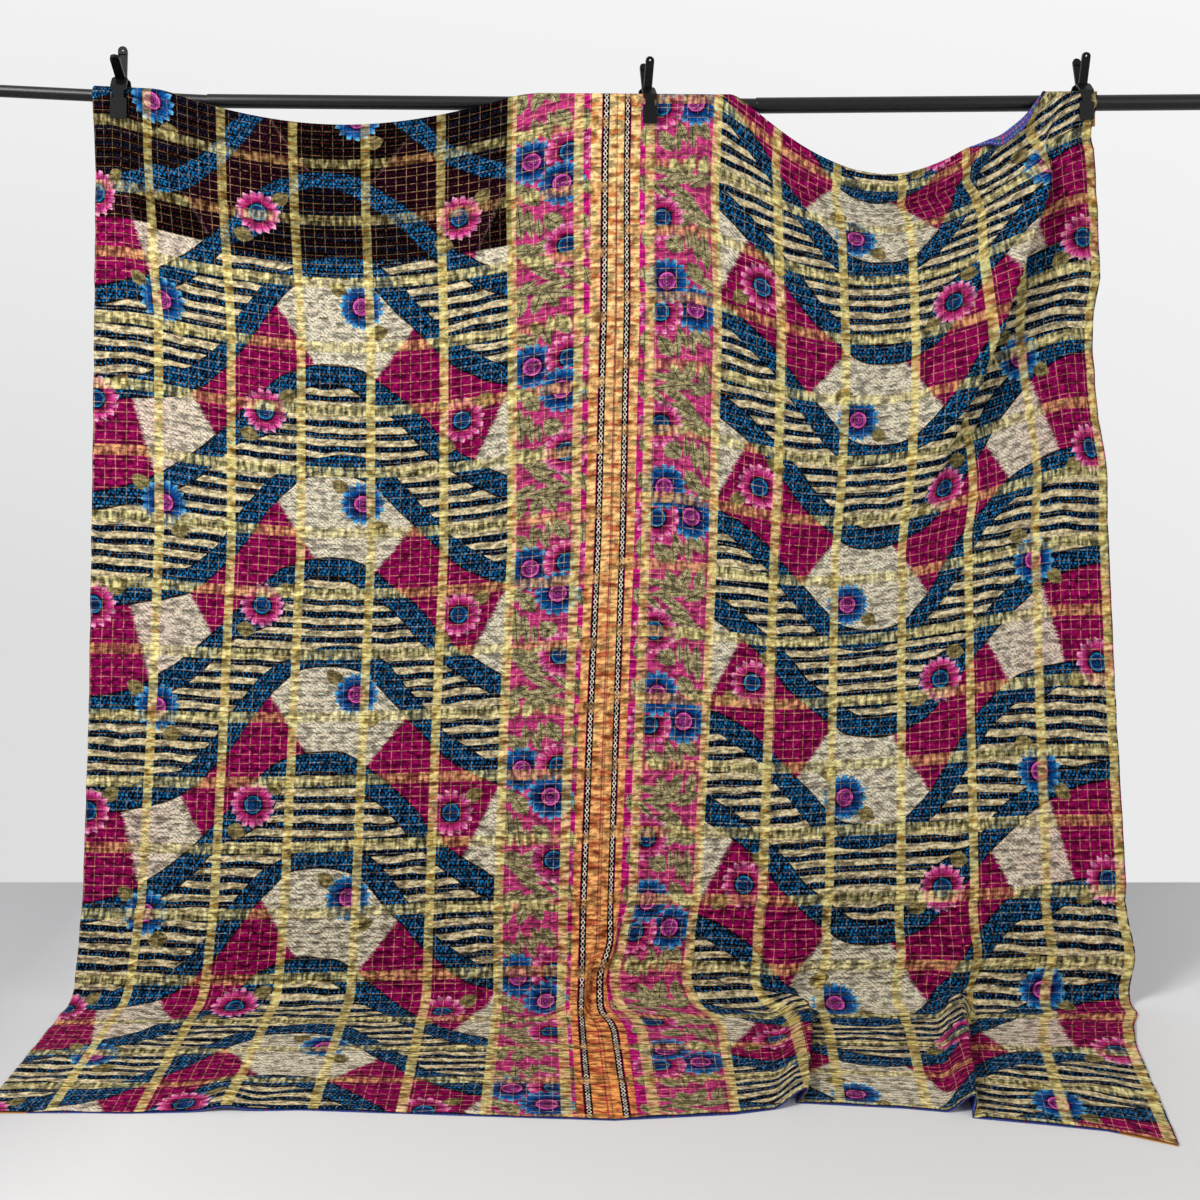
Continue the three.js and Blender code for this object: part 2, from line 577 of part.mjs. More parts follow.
for (const { name, x, size, lift, yaw, frontLean, backLean, hemBehind } of CLIPS) {
  const clip = new THREE.Group();
  clip.position.set(x, 0, rodHeight(x) + lift);
  clip.rotation.z = degToRad(-yaw);
  clip.scale.setScalar(size);
  assembly.add(clip);

  const clothOut = (turnRadius(x) + 2 * QUILT.ply + QUILT.gap + CLIP.clearance) / size;
  const rodRadius = ROD.radii[ROD.joints.findIndex((joint) => joint[0] > x) - 1];
  const rodOut = (Math.sqrt(rodRadius ** 2 - CLIP.padTop ** 2) + CLIP.clearance) / size;
  const sides = [
    { side: "front", lean: frontLean, out: clothOut, earAt: EARS.front, turn: 0 },
    { side: "back", lean: backLean, out: hemBehind ? clothOut : rodOut, earAt: EARS.back, turn: Math.PI },
  ];
  for (const { side, lean, out, earAt, turn } of sides) {
    const padOut = clearOut(out, yaw) + CLIP.padThickness;
    const jawOut = padOut + CLIP.seat + CLIP.thickness / 2;
    const lever = leverGeometry(lean, jawOut, earAt).rotateZ(turn);
    const pad = padGeometry(padOut).rotateZ(turn);
    addMesh(clip, `clip_${name}_lever_${side}`, lever, finishes.blackPlastic);
    addMesh(clip, `clip_${name}_pad_${side}`, pad, finishes.rubber);
  }
  addMesh(clip, `clip_${name}_pin`, bar(PIN.radius, 2 * PIN.halfLength, 0), finishes.springSteel);
  addMesh(clip, `clip_${name}_spring`, springGeometry(), finishes.springSteel);
}

// ---------------------------------------------------------------- the origin: floor level, under the middle

assembly.updateMatrixWorld(true);
const box = new THREE.Box3().setFromObject(assembly, true);
const middle = box.getCenter(new THREE.Vector3());
assembly.position.set(-middle.x, -middle.y, -box.min.z);

const root = new THREE.Group();
root.add(assembly);

export default root;
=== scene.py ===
import math
import bpy
import numpy as np
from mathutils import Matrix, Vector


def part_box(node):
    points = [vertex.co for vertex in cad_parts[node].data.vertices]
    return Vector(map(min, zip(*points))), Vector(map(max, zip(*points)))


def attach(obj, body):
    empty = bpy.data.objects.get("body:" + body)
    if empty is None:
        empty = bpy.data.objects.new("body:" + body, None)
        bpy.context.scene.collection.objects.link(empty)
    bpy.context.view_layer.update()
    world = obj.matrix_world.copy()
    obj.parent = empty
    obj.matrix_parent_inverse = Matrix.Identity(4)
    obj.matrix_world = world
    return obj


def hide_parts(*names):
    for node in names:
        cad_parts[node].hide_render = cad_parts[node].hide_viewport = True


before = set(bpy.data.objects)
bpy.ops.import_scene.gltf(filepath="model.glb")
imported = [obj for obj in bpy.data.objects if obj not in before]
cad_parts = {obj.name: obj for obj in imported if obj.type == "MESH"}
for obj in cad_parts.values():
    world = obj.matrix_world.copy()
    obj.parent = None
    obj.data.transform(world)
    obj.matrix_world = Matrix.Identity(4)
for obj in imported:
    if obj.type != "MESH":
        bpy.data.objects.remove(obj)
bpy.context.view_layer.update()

# ---------------------------------------------------------------------------------------------------------
# The camera: level, in front of the quilt, a little above half its height.

rod_low, rod_high = (np.array(corner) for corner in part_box("rod_section_middle"))
ROD_Y = (rod_low[1] + rod_high[1]) / 2
CAMERA_DISTANCE, CAMERA_HEIGHT = 3.070, 1.309
LENS, SENSOR, SHIFT_DOWN = 41.9, 36, -0.1667

camera_data = bpy.data.cameras.new("camera")
camera_data.sensor_width, camera_data.lens = SENSOR, LENS
camera_data.shift_y = SHIFT_DOWN
camera_data.clip_end = 30
camera = bpy.data.objects.new("camera", camera_data)
camera.location = (0.0003, ROD_Y - CAMERA_DISTANCE, CAMERA_HEIGHT)
camera.rotation_euler = (math.pi / 2, 0, 0)
bpy.context.scene.collection.objects.link(camera)
bpy.context.scene.camera = camera

# ---------------------------------------------------------------------------------------------------------
# The backing: one layer of old sari, indigo with thin green and red lines, sewn to the two front widths by
# thousands of running stitches. It hangs over the back of the rod and its lower end lies on the floor.
# The cloth's own measures are in millimetres: s across from the front seam, v down from the hem.

LEFT_EDGE, RIGHT_EDGE, LENGTH = -1160.0, 1195.0, 2500.0
ROD_JOINTS = np.array([[-1500, 1997], [-862, 1966], [343, 1956], [1500, 1965]], float)
TURN_RADIUS, TURN_STEP, OVER_ROD = 18.3, 2.0, 50.0
# The cuff of hem that curls forward beside the right clip: where it grows and fades, its depth and its bend.
CUFF = dict(depth=44, grows=(840, 950), fades=(985, 1085), bend_share=0.27, bend=(2, 8))
# How far the wadding swells between the stitches, and how sharp a fold must be, in turn for each mm, to flatten it.
SWELL, SHARP = 5.0, (0.02, 0.06)

# Each bay sags between two clips: where, how wide, how deep, its slant, the hem's share and how it dies away.
BAYS = [
    dict(at=-590, reach=530, drop=106, slant=0.059, share=0.40, fade=181, start=463, end=1610, lip=12),
    dict(at=695, reach=490, drop=236, slant=-0.083, share=0.51, fade=200, start=237, end=1637, lip=26),
]
# Each pleat is a tall fold along a line; it hides some of the cloth's width behind itself.
PLEATS = [
    dict(s=(1039, 718), v=(120, 880), span=(120, 250, 520, 940), height=66, rise=140, fall=40, hide=77,
         hiding=(60, 220)),
    dict(s=(430, 370), v=(1930, 2500), span=(1840, 1990, 3000, 3001), height=32, rise=75, fall=55, hide=85,
         hiding=(1900, 2120)),
    dict(s=(810, 777), v=(1930, 2500), span=(1820, 2080, 3000, 3001), height=36, rise=55, fall=55, hide=72,
         hiding=(1900, 2200)),
    dict(s=(-30, -40), v=(1900, 2100), span=(1870, 1970, 2010, 2150), height=26, rise=80, fall=30, hide=24,
         hiding=(1860, 1960)),
    dict(s=(35, 35), v=(1800, 2100), span=(1800, 1860, 1960, 2080), height=9, rise=34, fall=14, hide=25,
         hiding=(1770, 1880)),
]
# Soft folds: line from (s, v) to (s, v), width, height.
SOFT_FOLDS = [
    (-1085, 190, -1010, 460, 34, 14), (1137, 255, 1110, 1000, 40, 14), (65, 190, 195, 640, 60, 8),
    (-700, 900, -650, 1850, 140, 7), (-270, 700, -300, 1850, 120, -6), (375, 800, 430, 1900, 90, 10),
    (665, 980, 810, 1900, 90, 9), (-705, 2400, -700, 2520, 36, 13), (560, 300, 640, 1000, 44, -9),
    (880, 620, 700, 1300, 60, -9), (960, 420, 900, 900, 40, -8), (-480, 200, -560, 900, 90, 6),
]
# X of seven upright lines of the cloth at twelve depths.
LINE_S = [-1160, -1020, -218, 0, 225, 850, 1195]
LINE_V = [0, 100, 150, 220, 500, 640, 800, 1000, 1400, 1800, 2050, 2500]
LINE_X = np.array([
    [-1111, -992, -192, 40, 262, 794, 1096], [-1106, -989, -194, 39, 256, 792, 1097],
    [-1103, -988, -195, 38, 254, 815, 1124], [-1100, -985, -196, 38, 250, 832, 1153],
    [-1102, -962, -192, 37, 256, 842, 1166], [-1103, -961, -192, 34, 253, 840, 1133],
    [-1104, -960, -193, 31, 250, 829, 1103], [-1106, -958, -193, 27, 246, 800, 1103],
    [-1110, -973, -210, 13, 229, 803, 1119], [-1122, -995, -222, 1, 208, 810, 1142],
    [-1145, -1030, -222, -2, 255, 908, 1268], [-1134, -1010, -211, 26, 248, 843, 1172],
], float)
FLOOR_S = [-1160, -560, 0, 225, 410, 640, 800, 975, 1085, 1195]
FLOOR_RUN = [0.96, 0.90, 0.97, 0.92, 0.82, 0.87, 0.93, 1.0, 1.05, 1.16]
FLOOR_BEND, LEAN = 45.0, 17.0


def smooth(x, low, high):
    """0 below low, 1 above high, and 3t^2 - 2t^3 between, t being the share of the way."""
    t = np.clip((x - low) / (high - low), 0, 1)
    return t * t * (3 - 2 * t)


def sag(s, v):
    """How far the cloth is drawn down: in each bay a cosine across, dying away down the cloth; less the corner."""
    fall = 0
    for bay in BAYS:
        across = np.clip((s - bay["at"] - bay["slant"] * v) / bay["reach"], -1, 1)
        hem = bay["share"] * np.exp(-((v / bay["fade"]) ** 1.5))
        body = (1 - bay["share"]) * (1 - smooth(v, bay["start"], bay["end"]))
        fall = fall + bay["drop"] * np.maximum(0, np.cos(across * np.pi / 2)) ** 1.2 * (hem + body)
    return fall - 67 * smooth(s, 353, 1122) * (1 - np.minimum(1, v / 2000) ** 2)


def pleat_distance(pleat, s, v):
    """The distance across the cloth from the pleat's line, which runs straight from one (s, v) to the other."""
    (s1, s2), (v1, v2) = pleat["s"], pleat["v"]
    return s - (s1 + (s2 - s1) * (v - v1) / (v2 - v1))


def fold_lift(s, v):
    """How far the folds stand out: the bays' forward lips, the pleats' rise and fall, and soft Gaussian ridges."""
    lift = 0
    for bay in BAYS:
        across = np.clip((s - bay["at"]) / (bay["reach"] * 0.8), -1, 1)
        lift = lift + bay["lip"] * np.cos(across * np.pi / 2) ** 2 * np.exp(-(((v - 40) / 70) ** 2))
    for pleat in PLEATS:
        d = pleat_distance(pleat, s, v)
        start, full, fade, gone = pleat["span"]
        profile = np.where(d < 0, smooth(d, -pleat["rise"], 0), 1 - smooth(d, 0, pleat["fall"]))
        lift = lift + pleat["height"] * profile * smooth(v, start, full) * (1 - smooth(v, fade, gone))
    for s1, v1, s2, v2, width, height in SOFT_FOLDS:
        d = (s - (s1 + (s2 - s1) * (v - v1) / (v2 - v1))) / width
        length = smooth(v, v1 - 70, v1 + 70) * (1 - smooth(v, v2 - 70, v2 + 70))
        lift = lift + height * np.exp(-d * d) * length
    return lift


def spread(s, v):
    """X of the cloth: straight lines across between the seven upright lines, less what each pleat hides."""
    x = 0
    for k, line in enumerate(np.eye(len(LINE_S))):
        x = x + np.interp(s, LINE_S, line) * np.interp(v, LINE_V, LINE_X[:, k])
    for pleat in PLEATS:
        d = pleat_distance(pleat, s, v)
        open_again = 1 - smooth(v, pleat["span"][2], pleat["span"][3])
        x = x - pleat["hide"] * smooth(v, *pleat["hiding"]) * open_again * smooth(d, -10, pleat["fall"] + 20)
    return x


def hang(q, s, x):
    """The cloth's path in an upright slice, q down from the rod's front: behind the rod, round it, down with a
    slight lean, round a bend at the floor, and along it. Returns Y, Z and the way the face looks."""
    radius = TURN_RADIUS + sum(TURN_STEP * smooth(x, joint - 95, joint - 5) for joint in ROD_JOINTS[1:3, 0])
    axis = np.interp(x, ROD_JOINTS[:, 0], ROD_JOINTS[:, 1])
    turn = np.clip(-q / radius, 0, np.pi)
    front = -radius - LEAN * smooth(q, 60, 1900)
    beyond = np.maximum(q - (axis - FLOOR_BEND), 0)
    bend = np.minimum(beyond / FLOOR_BEND, np.pi / 2)
    along = (beyond - bend * FLOOR_BEND) * np.interp(s, FLOOR_S, FLOOR_RUN)
    on_floor, over = beyond > 0, q < 0
    ny = np.where(over, -np.cos(turn), -np.cos(bend))
    nz = np.where(over, np.sin(turn), np.sin(bend))
    y = np.where(over, radius * ny, front - np.where(on_floor, FLOOR_BEND * (1 + ny) + along, 0))
    z = np.where(over, axis + radius * nz + np.minimum(q + np.pi * radius, 0),
                 np.where(on_floor, FLOOR_BEND * (1 - nz), axis - q))
    return y, z, ny, nz


def drape(s, v):
    """The cloth's back as points in millimetres from the rod's middle: the hanging path, lifted by the folds
    along its face, and above the crown of the right clip's cuff curled over towards the front."""
    cuff = CUFF["depth"] * smooth(s, *CUFF["grows"]) * (1 - smooth(s, *CUFF["fades"]))
    crown = np.maximum(v, cuff)
    bend = np.clip(cuff * CUFF["bend_share"], *CUFF["bend"])
    curl = np.minimum((crown - v) / bend, np.pi)
    out = bend * (1 - np.cos(curl)) + fold_lift(s, crown)
    up = bend * np.sin(curl) - (crown - v - curl * bend)
    x = spread(s, crown)
    y, z, ny, nz = hang(crown - OVER_ROD + sag(s, crown), s, x)
    return np.stack([x, y + ny * out + nz * up, z + nz * out - ny * up], -1)


def stations(*zones):
    """The edges of strips: each zone (from, to, strips) cut evenly."""
    return np.concatenate([np.linspace(a, b, n + 1)[:-1] for a, b, n in zones] + [[zones[-1][1]]])


def facing(points):
    """The way the cloth's face looks at each grid point: down the cloth crossed with across it."""
    normal = np.cross(np.gradient(points, axis=1), np.gradient(points, axis=0))
    return normal / np.linalg.norm(normal, axis=-1, keepdims=True)


def sheet(name, s, v, points, normals, inner, thickness):
    """A closed sheet: the grid pushed out along its normals by inner, and again by the thickness, with a rim.
    Nothing is lower than the floor, and the fronts lie there on the backing. Its UV map is (s, v) in metres."""
    columns, rows = points.shape[:2]
    layers = np.stack([points + normals * inner[..., None], points + normals * (inner + thickness)[..., None]])
    lowest = [[0.0], [thickness.min()]] if name == "quilt_backing" else [[2.0], [3.0]]
    layers[..., 2] = np.maximum(layers[..., 2], np.reshape(lowest, (2, 1, 1)))
    places = layers.reshape(-1, 3) / 1000 + (MIDDLE_X, ROD_Y, 0)
    number = np.arange(2 * columns * rows).reshape(2, columns, rows)
    back, face = number

    def quads(a, b, c, d):
        return np.stack([a, b, c, d], -1).reshape(-1, 4)

    faces = np.concatenate([
        quads(face[:-1, :-1], face[:-1, 1:], face[1:, 1:], face[1:, :-1]),
        quads(back[1:, 1:], back[:-1, 1:], back[:-1, :-1], back[1:, :-1]),
        quads(back[:-1, 0], face[:-1, 0], face[1:, 0], back[1:, 0]),
        quads(face[:-1, -1], back[:-1, -1], back[1:, -1], face[1:, -1]),
        quads(face[0, :-1], back[0, :-1], back[0, 1:], face[0, 1:]),
        quads(back[-1, :-1], face[-1, :-1], face[-1, 1:], back[-1, 1:]),
    ])
    mesh = bpy.data.meshes.new(name)
    mesh.from_pydata(places, [], faces)
    uv = np.stack(np.broadcast_arrays(s[:, None], v[None, :]), -1).reshape(-1, 2) / 1000
    uv = np.concatenate([uv, uv])
    mesh.uv_layers.new(name="cloth").data.foreach_set("uv", uv[faces.ravel()].ravel().astype(np.float32))
    mesh.polygons.foreach_set("use_smooth", np.ones(len(faces), bool))
    mesh.update()
    piece = bpy.data.objects.new(name, mesh)
    bpy.context.scene.collection.objects.link(piece)
    return piece


# The middle rod section runs from X -862 to 358, which says where the rod's middle is in the frame.
MIDDLE_X = (rod_low[0] + rod_high[0]) / 2 + 0.252

COLUMNS_LEFT = stations((LEFT_EDGE, -1000, 20), (-1000, -80, 88), (-80, 0, 12))
COLUMNS_RIGHT = stations((0, 60, 8), (60, 210, 12), (210, 480, 32), (480, 640, 14), (640, RIGHT_EDGE, 60))
ROWS = stations((0, 130, 34), (130, 1820, 240), (1820, 2040, 44), (2040, LENGTH, 66))
WHOLE_S = np.concatenate([COLUMNS_LEFT, COLUMNS_RIGHT[1:]])
SEAM = len(COLUMNS_LEFT) - 1
whole = drape(WHOLE_S[:, None], ROWS[None, :])
whole_normals = facing(whole)
for _ in range(4):  # evened out across, so that the layers don't cross in the sharp folds
    whole_normals[1:-1] = (whole_normals[:-2] + 2 * whole_normals[1:-1] + whole_normals[2:]) / 4
whole_normals /= np.linalg.norm(whole_normals, axis=-1, keepdims=True)

generator = np.random.default_rng(7)


def swell(s, v):
    """How the wadding swells between the stitches, 0 to 1: twelve long waves added, each with its own direction."""
    total = 0
    for _ in range(12):
        length = generator.uniform(55, 150)
        angle = generator.normal(math.pi / 2, 0.5)
        phase = generator.uniform(0, 2 * math.pi)
        total = total + np.sin((s * math.cos(angle) + v * math.sin(angle)) * 2 * math.pi / length + phase)
    return np.clip(0.5 + total / 12, 0, 1)


clear_of_rod = smooth(ROWS[None, :] + sag(WHOLE_S[:, None], ROWS[None, :]), 110, 220)
# The face's turn in each millimetre across: where a fold is sharp, the wadding is pressed flat.
turning = np.linalg.norm(np.diff(facing(whole), axis=0), axis=-1) / np.linalg.norm(np.diff(whole, axis=0), axis=-1)
sharpness = np.maximum(np.pad(turning, ((2, 0), (0, 0)), "edge")[:-1], np.pad(turning, ((0, 2), (0, 0)), "edge")[1:])
puff = SWELL * swell(WHOLE_S[:, None], ROWS[None, :]) * clear_of_rod * (1 - smooth(sharpness, *SHARP))

# The backing keeps every row where a fold is sharp, and every second or third elsewhere.
keep_rows = np.concatenate([np.arange(a, b, step) for a, b, step in (
    (0, 28, 1), (28, 34, 2), (34, 96, 1), (96, 150, 2), (150, 274, 3), (274, 318, 1), (318, 385, 2))])
keep_rows = np.unique(np.append(keep_rows, len(ROWS) - 1))
keep_columns = np.unique(np.concatenate([np.arange(0, 20), np.arange(20, 108, 2), np.arange(108, len(WHOLE_S))]))
some = np.ix_(keep_columns, keep_rows)
BACKING_PLY = 1.0
backing = sheet("quilt_backing", WHOLE_S[keep_columns], ROWS[keep_rows], whole[some], whole_normals[some],
                np.zeros(whole[some].shape[:2]), np.full(whole[some].shape[:2], BACKING_PLY))
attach(backing, "root")
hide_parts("backing")


def paint(red, green, blue):
    """A colour given as 0 to 255 as the eye sees it, for a shader: ((c + 0.055) / 1.055) ^ 2.4."""
    levels = [c / 255 for c in (red, green, blue)]
    return tuple(c / 12.92 if c < 0.0404 else ((c + 0.055) / 1.055) ** 2.4 for c in levels) + (1.0,)


class Field:
    """A number worked out at each point of a surface. Each sum or comparison adds one Math node."""

    def __init__(self, tree, socket):
        self.tree, self.socket = tree, socket

    def math(self, operation, *others, clamp=False):
        """One Math node on this number and the others, held between 0 and 1 where clamp is set."""
        node = self.tree.nodes.new("ShaderNodeMath")
        node.operation, node.use_clamp = operation, clamp
        for socket, value in zip(node.inputs, (self, *others)):
            if isinstance(value, Field):
                self.tree.links.new(value.socket, socket)
            else:
                socket.default_value = value
        return Field(self.tree, node.outputs[0])

    def __add__(self, other):
        return self.math("ADD", other)

    def __sub__(self, other):
        return self.math("SUBTRACT", other)

    def __rsub__(self, other):
        return self.math("MULTIPLY_ADD", -1.0, other)

    def __mul__(self, other):
        return self.math("MULTIPLY", other)

    __radd__, __rmul__ = __add__, __mul__

    def __abs__(self):
        return self.math("ABSOLUTE")

    def repeat(self, pitch):
        """What is left over each pitch, from 0 to the pitch."""
        return self.math("FLOORED_MODULO", pitch)

    def above(self, edge, soft):
        """0 below the edge and 1 above it: (x - edge) / soft + 0.5, held between 0 and 1."""
        if isinstance(edge, Field):
            return (self - edge).above(0.0, soft)
        return self.math("MULTIPLY_ADD", 1 / soft, 0.5 - edge / soft, clamp=True)

    def below(self, edge, soft):
        """1 below the edge and 0 above it: 0.5 - (x - edge) / soft, held between 0 and 1."""
        if isinstance(edge, Field):
            return (self - edge).below(0.0, soft)
        return self.math("MULTIPLY_ADD", -1 / soft, 0.5 + edge / soft, clamp=True)

    def near(self, middle, width, soft):
        """1 within half the width of the middle: below, on the distance from it."""
        return abs(self - middle).below(width / 2, soft)

    def either(self, other):
        """The larger of the two."""
        return self.math("MAXIMUM", other)


def lay_colour(share, under, over):
    """The colour over laid on the colour under by its share: under (1 - share) + over share."""
    node = share.tree.nodes.new("ShaderNodeMix")
    node.data_type = "RGBA"
    share.tree.links.new(share.socket, node.inputs[0])
    for socket, colour in ((node.inputs[6], under), (node.inputs[7], over)):
        if isinstance(colour, tuple):
            socket.default_value = colour
        else:
            share.tree.links.new(colour, socket)
    return node.outputs[2]


def vector_of(x, y, z=0.0):
    """The three numbers as one vector."""
    node = x.tree.nodes.new("ShaderNodeCombineXYZ")
    for socket, value in zip(node.inputs, (x, y, z)):
        if isinstance(value, Field):
            x.tree.links.new(value.socket, socket)
        else:
            socket.default_value = value
    return node.outputs[0]


def deepen(tree, colour, power):
    """Each channel of the colour raised to the power: dark dyes go darker, pale ones hardly change."""
    node = tree.nodes.new("ShaderNodeGamma")
    node.inputs["Gamma"].default_value = power
    tree.links.new(colour, node.inputs["Color"])
    return node.outputs[0]


def mottle(x, y, seed, detail=2.0):
    """Smooth noise, about 0.5, over coordinates already divided by the size of its lumps."""
    node = x.tree.nodes.new("ShaderNodeTexNoise")
    node.inputs["Scale"].default_value = 1.0
    node.inputs["Detail"].default_value = detail
    x.tree.links.new(vector_of(x, y, seed), node.inputs["Vector"])
    return Field(x.tree, node.outputs["Fac"])


def new_material(name):
    """An empty material with its Principled shader."""
    material = bpy.data.materials.new(name)
    material.use_nodes = True
    return material, material.node_tree, material.node_tree.nodes["Principled BSDF"]


def cloth_fields(tree):
    """s and v of the cloth in millimetres, from its own UV map."""
    uv = tree.nodes.new("ShaderNodeUVMap")
    uv.uv_map = "cloth"
    split = tree.nodes.new("ShaderNodeSeparateXYZ")
    tree.links.new(uv.outputs[0], split.inputs[0])
    return Field(tree, split.outputs[0]) * 1000.0, Field(tree, split.outputs[1]) * 1000.0


def relief(tree, height, depth, shader):
    """The height, 0 to 1, as bumps of the given depth in metres."""
    bump = tree.nodes.new("ShaderNodeBump")
    bump.inputs["Distance"].default_value = depth
    tree.links.new(height.socket, bump.inputs["Height"])
    tree.links.new(bump.outputs[0], shader.inputs["Normal"])


STITCH_ROW, STITCH_STEP = 10.4, 8.4


def running_stitches(s, v):
    """Short ticks in rows: each fills a third of its step and a seventh of its row, and every other row is
    shifted by half a step."""
    rows = v * (1 / STITCH_ROW)
    along = s * (1 / STITCH_STEP) + rows.math("FLOOR") * 0.5
    return abs(along.repeat(1.0) - 0.5).below(0.17, 0.1) * abs(rows.repeat(1.0) - 0.5).below(0.07, 0.1)


material, tree, shader = new_material("indigo_sari")
s, v = cloth_fields(tree)
bend = mottle(s * 0.004, v * 0.004, 5.0) * 30.0
thread = mottle(s * 0.05, v * 0.3, 2.0)
colour = lay_colour(thread, paint(30, 38, 112), paint(52, 72, 158))
colour = lay_colour((s + bend).repeat(46.0).near(23.0, 2.6, 1.2), colour, paint(40, 110, 70))
colour = lay_colour((s + bend + 12.0).repeat(92.0).near(46.0, 2.2, 1.2), colour, paint(170, 30, 50))
colour = lay_colour((v + bend).repeat(64.0).near(32.0, 2.4, 1.2), colour, paint(150, 34, 60))
border = abs(s - 17.5).above(1085.0, 6.0)
colour = lay_colour(border, colour, paint(178, 116, 40))
colour = lay_colour(running_stitches(s, v), colour, paint(200, 150, 160))
tree.links.new(colour, shader.inputs["Base Color"])
shader.inputs["Roughness"].default_value = 0.72
crease = mottle(s * 0.03, v * 0.09, 4.0, 3.0)
relief(tree, crease + (v * (1 / STITCH_ROW)).repeat(1.0).near(0.5, 0.5, 0.5) * 0.2, 0.004, shader)
backing.data.materials.append(material)

# ---------------------------------------------------------------------------------------------------------
# The front: two widths of printed sari, sewn together up the middle of their gold borders and stitched to the
# backing. The print is turned half round on the right; satin yellow bands and gold threads make a check over it.

FRONT_PLY, GAP, SEAM_GAP = 1.0, 1.3, 0.5

left_points = whole[:SEAM + 1].copy()
left_points[-1] = drape(np.full((1, 1), -SEAM_GAP / 2), ROWS[None, :])[0]
right_points = whole[SEAM:].copy()
right_points[0] = drape(np.full((1, 1), SEAM_GAP / 2), ROWS[None, :])[0]
front_inner = BACKING_PLY + GAP + puff
ply_left, ply_right = (np.full(p.shape[:2], FRONT_PLY) for p in (left_points, right_points))
front_left = sheet("quilt_front_left", COLUMNS_LEFT, ROWS, left_points, whole_normals[:SEAM + 1],
                   front_inner[:SEAM + 1], ply_left)
front_right = sheet("quilt_front_right", COLUMNS_RIGHT, ROWS, right_points, whole_normals[SEAM:],
                    front_inner[SEAM:], ply_right)
for piece, node, width in ((front_left, "front_panel_left", 1.16), (front_right, "front_panel_right", 1.195)):
    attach(piece, "root")
    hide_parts(node)

PRINT_REPEAT = 448.0
STRIPE_PITCH, DOT_STEP, DOT_ROW = 29.2, 9.4, 7.6
THREAD_ACROSS, THREAD_DOWN, BAND_PITCH, SATIN = 22.9, 20.7, 145.0, 0.66
BORDER_HALF, BEAD_PITCH = 53.0, 11.6

# The print's winding bands, one repeat, as (across, down): the upper and the lower edge of each.
BAND_ONE_TOP = [(-1160, 1122), (-1100, 1118), (-1060, 1104), (-1000, 1072), (-956, 1067), (-920, 1039), (-891, 1011),
                (-870, 982), (-831, 920), (-806, 889), (-760, 836), (-700, 800), (-600, 772), (-520, 790),
                (-460, 845), (-429, 884), (-399, 915), (-358, 965), (-310, 999), (-240, 1038), (-200, 1050)]
BAND_ONE_FOOT = [(-1160, 1168), (-1077, 1158), (-1010, 1143), (-943, 1118), (-868, 1050), (-827, 1002), (-785, 939),
                 (-750, 891), (-718, 858), (-689, 833), (-600, 822), (-540, 838), (-503, 871), (-473, 904),
                 (-436, 941), (-384, 995), (-344, 1030), (-288, 1064), (-229, 1085), (-200, 1095)]
BAND_TWO_TOP = [(-1160, 1366), (-1075, 1343), (-1010, 1308), (-947, 1260), (-893, 1210), (-827, 1139), (-785, 1093),
                (-743, 1052), (-710, 1035), (-664, 1020), (-600, 1018), (-570, 1023), (-525, 1049), (-479, 1084),
                (-410, 1145), (-383, 1180), (-344, 1219), (-277, 1262), (-200, 1305)]
BAND_TWO_FOOT = [(-1160, 1406), (-1060, 1380), (-968, 1337), (-935, 1314), (-902, 1284), (-847, 1223), (-793, 1198),
                 (-743, 1168), (-722, 1120), (-690, 1075), (-600, 1064), (-562, 1082), (-525, 1110), (-483, 1140),
                 (-455, 1167), (-427, 1201), (-403, 1225), (-370, 1255), (-336, 1280), (-294, 1310), (-200, 1350)]

# Flowers of one repeat: (across, down, 1 for pink or -1 for blue), in the field and in the floral strip.
FIELD_FLOWERS = [(-1155, 1163, 1), (-1008, 929, -1), (-778, 1135, 1), (-555, 886, -1), (-331, 1151, 1)]
STRIP_FLOWERS = [(-175, 1055, -1), (-98, 1046, 1), (-113, 1113, -1), (-102, 1250, 1)]
# Leaves of the floral strip: (across, down, turn in degrees, half length, half width).
STRIP_LEAVES = [
    (-192, 997, 48, 26, 15), (-111, 971, 55, 28, 17), (-170, 983, 88, 30, 9), (-148, 990, 65, 28, 9),
    (-137, 970, 85, 24, 9), (-198, 917, 100, 28, 13), (-164, 915, 110, 30, 14), (-136, 910, 60, 28, 14),
    (-177, 1131, 55, 28, 18), (-203, 1112, 20, 22, 15), (-200, 1183, 85, 42, 13), (-179, 1190, 82, 36, 10),
    (-160, 1203, 85, 22, 8), (-130, 1195, 40, 27, 20), (-190, 1250, 10, 34, 17), (-150, 1246, 160, 32, 15),
    (-158, 1280, 20, 44, 15), (-138, 1311, 28, 50, 10), (-140, 1334, -8, 60, 11), (-192, 1334, -30, 32, 13),
    (-110, 1352, 12, 46, 9), (-64, 982, 90, 26, 12), (-62, 1127, 80, 20, 10), (-66, 1204, 80, 20, 11),
    (-62, 1322, 75, 24, 11), (-95, 1310, 40, 30, 8),
]


def charted(a, points):
    """A smooth line through the given points: down as a function of across, as one curve node. The curve runs
    from 0 to 1 across between the end points, and carries down as (down - 700) / 800."""
    node = a.tree.nodes.new("ShaderNodeFloatCurve")
    curve = node.mapping.curves[0]
    low, high = points[0][0], points[-1][0]
    scaled = [((x - low) / (high - low), (y - 700) / 800) for x, y in points]
    curve.points[0].location, curve.points[1].location = scaled[0], scaled[-1]
    for x, y in scaled[1:-1]:
        curve.points.new(x, y)
    node.mapping.update()
    a.tree.links.new((a * (1 / (high - low)) + (-low / (high - low))).socket, node.inputs["Value"])
    return Field(a.tree, node.outputs[0]) * 800.0 + 700.0


